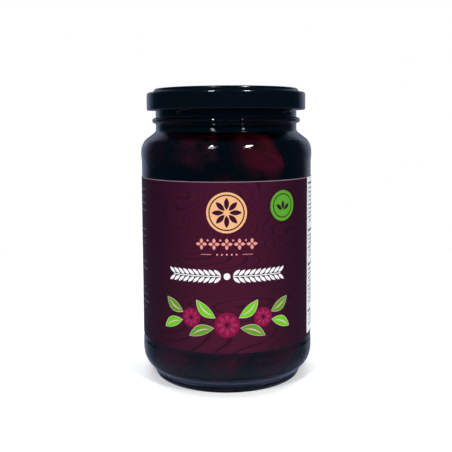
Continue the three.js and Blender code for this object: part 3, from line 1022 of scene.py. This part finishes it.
def make_table():
    bm = bmesh.new()
    bmesh.ops.create_circle(bm, cap_ends=True, segments=128, radius=BOARD_RADIUS)
    mesh = bpy.data.meshes.new("pale_table")
    bm.to_mesh(mesh)
    bm.free()
    mesh.materials.append(matt_white())
    table = bpy.data.objects.new("pale_table", mesh)
    bpy.context.collection.objects.link(table)
    table.visible_glossy = False
    table.visible_transmission = False


def make_camera():
    data = bpy.data.cameras.new("camera")
    data.sensor_width = SENSOR
    data.lens = FOCAL_PIXELS / FRAME_PIXELS * SENSOR
    data.shift_x = (FRAME_PIXELS / 2 - AXIS_PIXEL[0]) / FRAME_PIXELS
    data.shift_y = (AXIS_PIXEL[1] - FRAME_PIXELS / 2) / FRAME_PIXELS
    data.clip_start = 0.01
    camera = bpy.data.objects.new("camera", data)
    bpy.context.collection.objects.link(camera)
    lean = Matrix.Rotation(pi / 2 - CAMERA_LEAN, 4, "X")
    roll = Matrix.Rotation(CAMERA_ROLL, 4, "Z")
    place = Matrix.Translation((0, -CAMERA_BACK * MM, CAMERA_HEIGHT * MM))
    camera.matrix_world = place @ lean @ roll
    bpy.context.scene.camera = camera


def softbox(name, turn_deg, rise_deg, distance, size, power, mirrored=True):
    """A flat lamp that looks at the middle of the jar from a turn and a rise, mirrored in gloss or not."""
    data = bpy.data.lights.new(name, "AREA")
    data.shape = "RECTANGLE"
    data.size, data.size_y = size
    data.energy = power
    lamp = bpy.data.objects.new(name, data)
    bpy.context.collection.objects.link(lamp)
    turn, rise = radians(turn_deg), radians(rise_deg)
    away = Vector((sin(turn) * cos(rise), -cos(turn) * cos(rise), sin(rise)))
    lamp.location = Vector((0, 0, AIM_HEIGHT)) + away * distance
    lamp.rotation_euler = away.to_track_quat("Z", "Y").to_euler()
    lamp.visible_glossy = mirrored
    lamp.visible_transmission = mirrored


def make_world():
    """A dark room, dim below the jar and bright to both sides behind it, which the camera sees as white."""
    world = bpy.data.worlds.new("white_room")
    bpy.context.scene.world = world
    world.use_nodes = True
    tree = world.node_tree
    way = add(tree, "ShaderNodeTexCoord").outputs["Generated"]
    part = add(tree, "ShaderNodeSeparateXYZ", {0: way}).outputs
    behind = add(
        tree,
        "ShaderNodeMapRange",
        {"Value": part["Y"], "From Min": 0.52, "From Max": 0.95, "To Min": 0, "To Max": 1},
        interpolation_type="SMOOTHSTEP",
    ).outputs[0]
    high = add(
        tree,
        "ShaderNodeMapRange",
        {"Value": part["Z"], "From Min": -0.2, "From Max": 0.15, "To Min": 0.7, "To Max": 1},
    ).outputs[0]
    low = add(
        tree,
        "ShaderNodeMapRange",
        {"Value": part["Z"], "From Min": -0.15, "From Max": -0.45, "To Min": 0, "To Max": 1},
    ).outputs[0]
    across = add(tree, "ShaderNodeMath", {0: part["X"]}, operation="ABSOLUTE").outputs[0]
    aside = add(
        tree,
        "ShaderNodeMapRange",
        {"Value": across, "From Min": 0.15, "From Max": 0.4, "To Min": 0, "To Max": 1},
    ).outputs[0]
    flank = add(tree, "ShaderNodeMath", {0: behind, 1: aside}, operation="MULTIPLY").outputs[0]
    share = add(tree, "ShaderNodeMath", {0: flank, 1: high}, operation="MULTIPLY").outputs[0]
    front = add(
        tree,
        "ShaderNodeMix",
        {"Factor": low, 6: linear(ROOM_FRONT), 7: linear(ROOM_BELOW)},
        data_type="RGBA",
    ).outputs[2]
    room = add(
        tree, "ShaderNodeMix", {"Factor": share, 6: front, 7: linear(ROOM_BACK)}, data_type="RGBA"
    ).outputs[2]
    seen = add(tree, "ShaderNodeLightPath").outputs["Is Camera Ray"]
    colour = add(tree, "ShaderNodeMix", {"Factor": seen, 6: room, 7: linear("#FFFFFF")}, data_type="RGBA")
    tree.links.new(colour.outputs[2], tree.nodes["Background"].inputs["Color"])


make_camera()
make_world()
for key, key_turn_deg in KEY_TURNS_DEG:
    softbox(key, key_turn_deg, KEY_RISE_DEG, KEY_DISTANCE, KEY_SIZE, KEY_POWER)
softbox(
    "overhead",
    OVERHEAD_TURN_DEG,
    OVERHEAD_RISE_DEG,
    OVERHEAD_DISTANCE,
    OVERHEAD_SIZE,
    OVERHEAD_POWER,
    mirrored=False,
)
make_table()
make_glass_jar()
make_lid()
# The bare paper colour is real on the cut edges, and a painted highlight on the band along the top of the
# face
make_label(burgundy_paper(), ink("bare_paper_edge_and_painted_highlight", "#A98D95"))
peach = ink("ink_peach", "#F8B885")
rose = ink("ink_rose", "#F09A90")
white = ink("ink_white", "#FDFBFD")
light_green = ink("ink_light_green", "#6EC814")
deep_green = ink("ink_deep_green", "#649A1C")
seal_green = ink("ink_seal_green", "#5CA62C")
crimson = ink("ink_crimson", "#86003A")
pink = ink("ink_pink", "#9A2054")
plum = ink("ink_plum", "#3A0F28")
grey = ink("ink_grey", "#5A5C62")
pale = ink("ink_pale", "#D9B9B4")
print_medallion(peach, plum)
print_quatrefoil_band(rose)
print_laurel(white)
print_garland(pale, light_green, deep_green, crimson, pink, plum)
print_seal(seal_green, plum)
print_side_panels(white, grey, ink("ink_dusty_pink", "#93707D"))
make_olives()
make_brine()

bpy.context.scene.view_settings.view_transform = "Standard"
